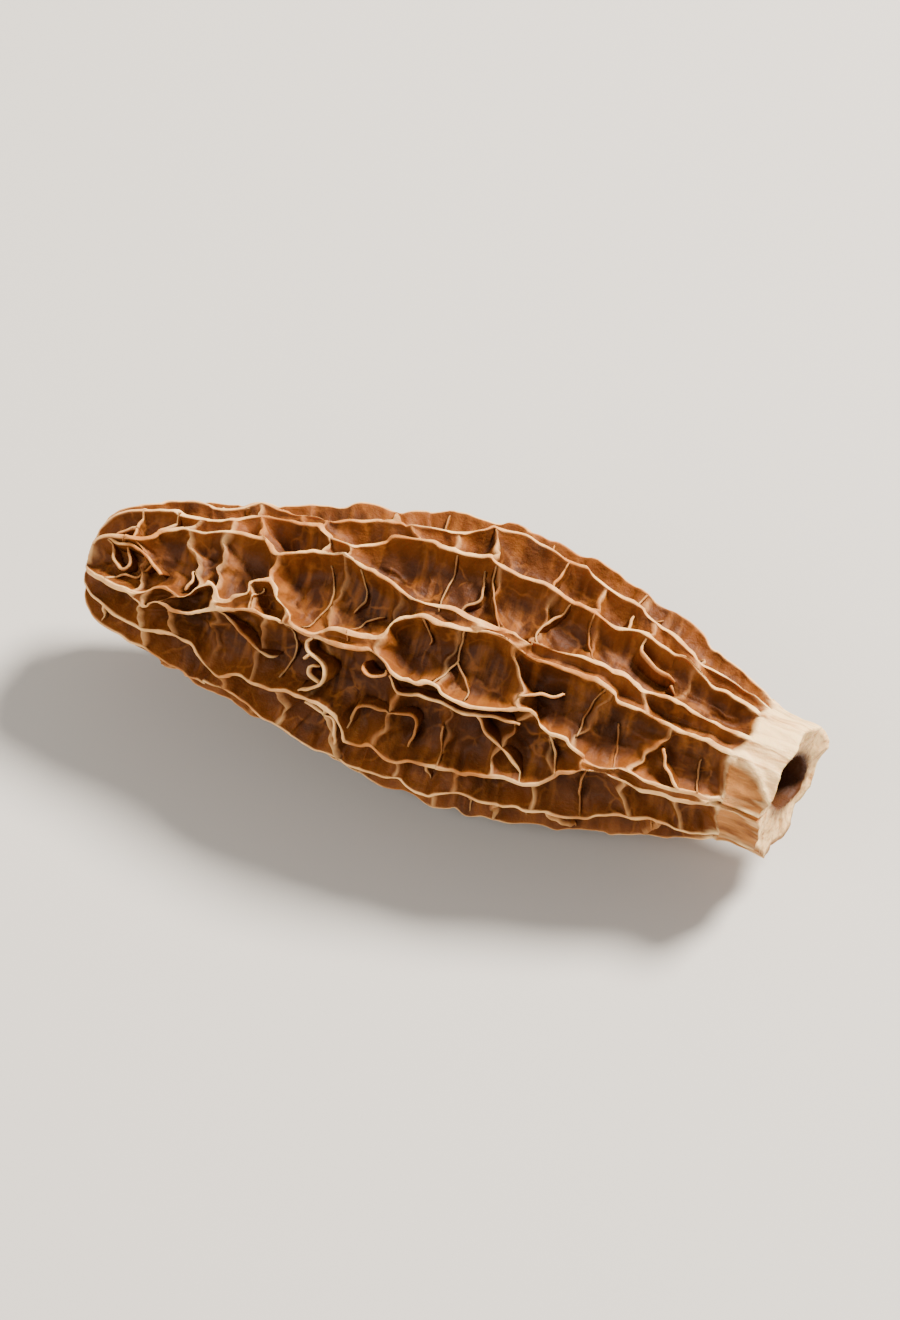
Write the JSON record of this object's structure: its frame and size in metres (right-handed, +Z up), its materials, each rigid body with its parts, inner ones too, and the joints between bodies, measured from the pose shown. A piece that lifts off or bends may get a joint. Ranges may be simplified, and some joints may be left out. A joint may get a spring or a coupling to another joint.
{
  "type": "dried morel mushroom",
  "caption": "Hollow dried morel: long blunt cap with a raised net of thin wavy ridges round deep pits, and a short fluted stem stub cut open.",
  "frame": {"origin": "centre of the bounding box in plan, at the plane the mushroom lies on", "axes": "+X along the mushroom from the tip of the cap to the cut end of the stem, +Z up as it lies on its side"},
  "size_m": [0.0456, 0.0172, 0.017],
  "materials": {
    "flesh": "dry and matt, amber brown in the pits, pale tan on the ridge crests and the stem"
  },
  "bodies": {
    "root": {"fruit_body": "flesh"}
  },
  "joints": []
}
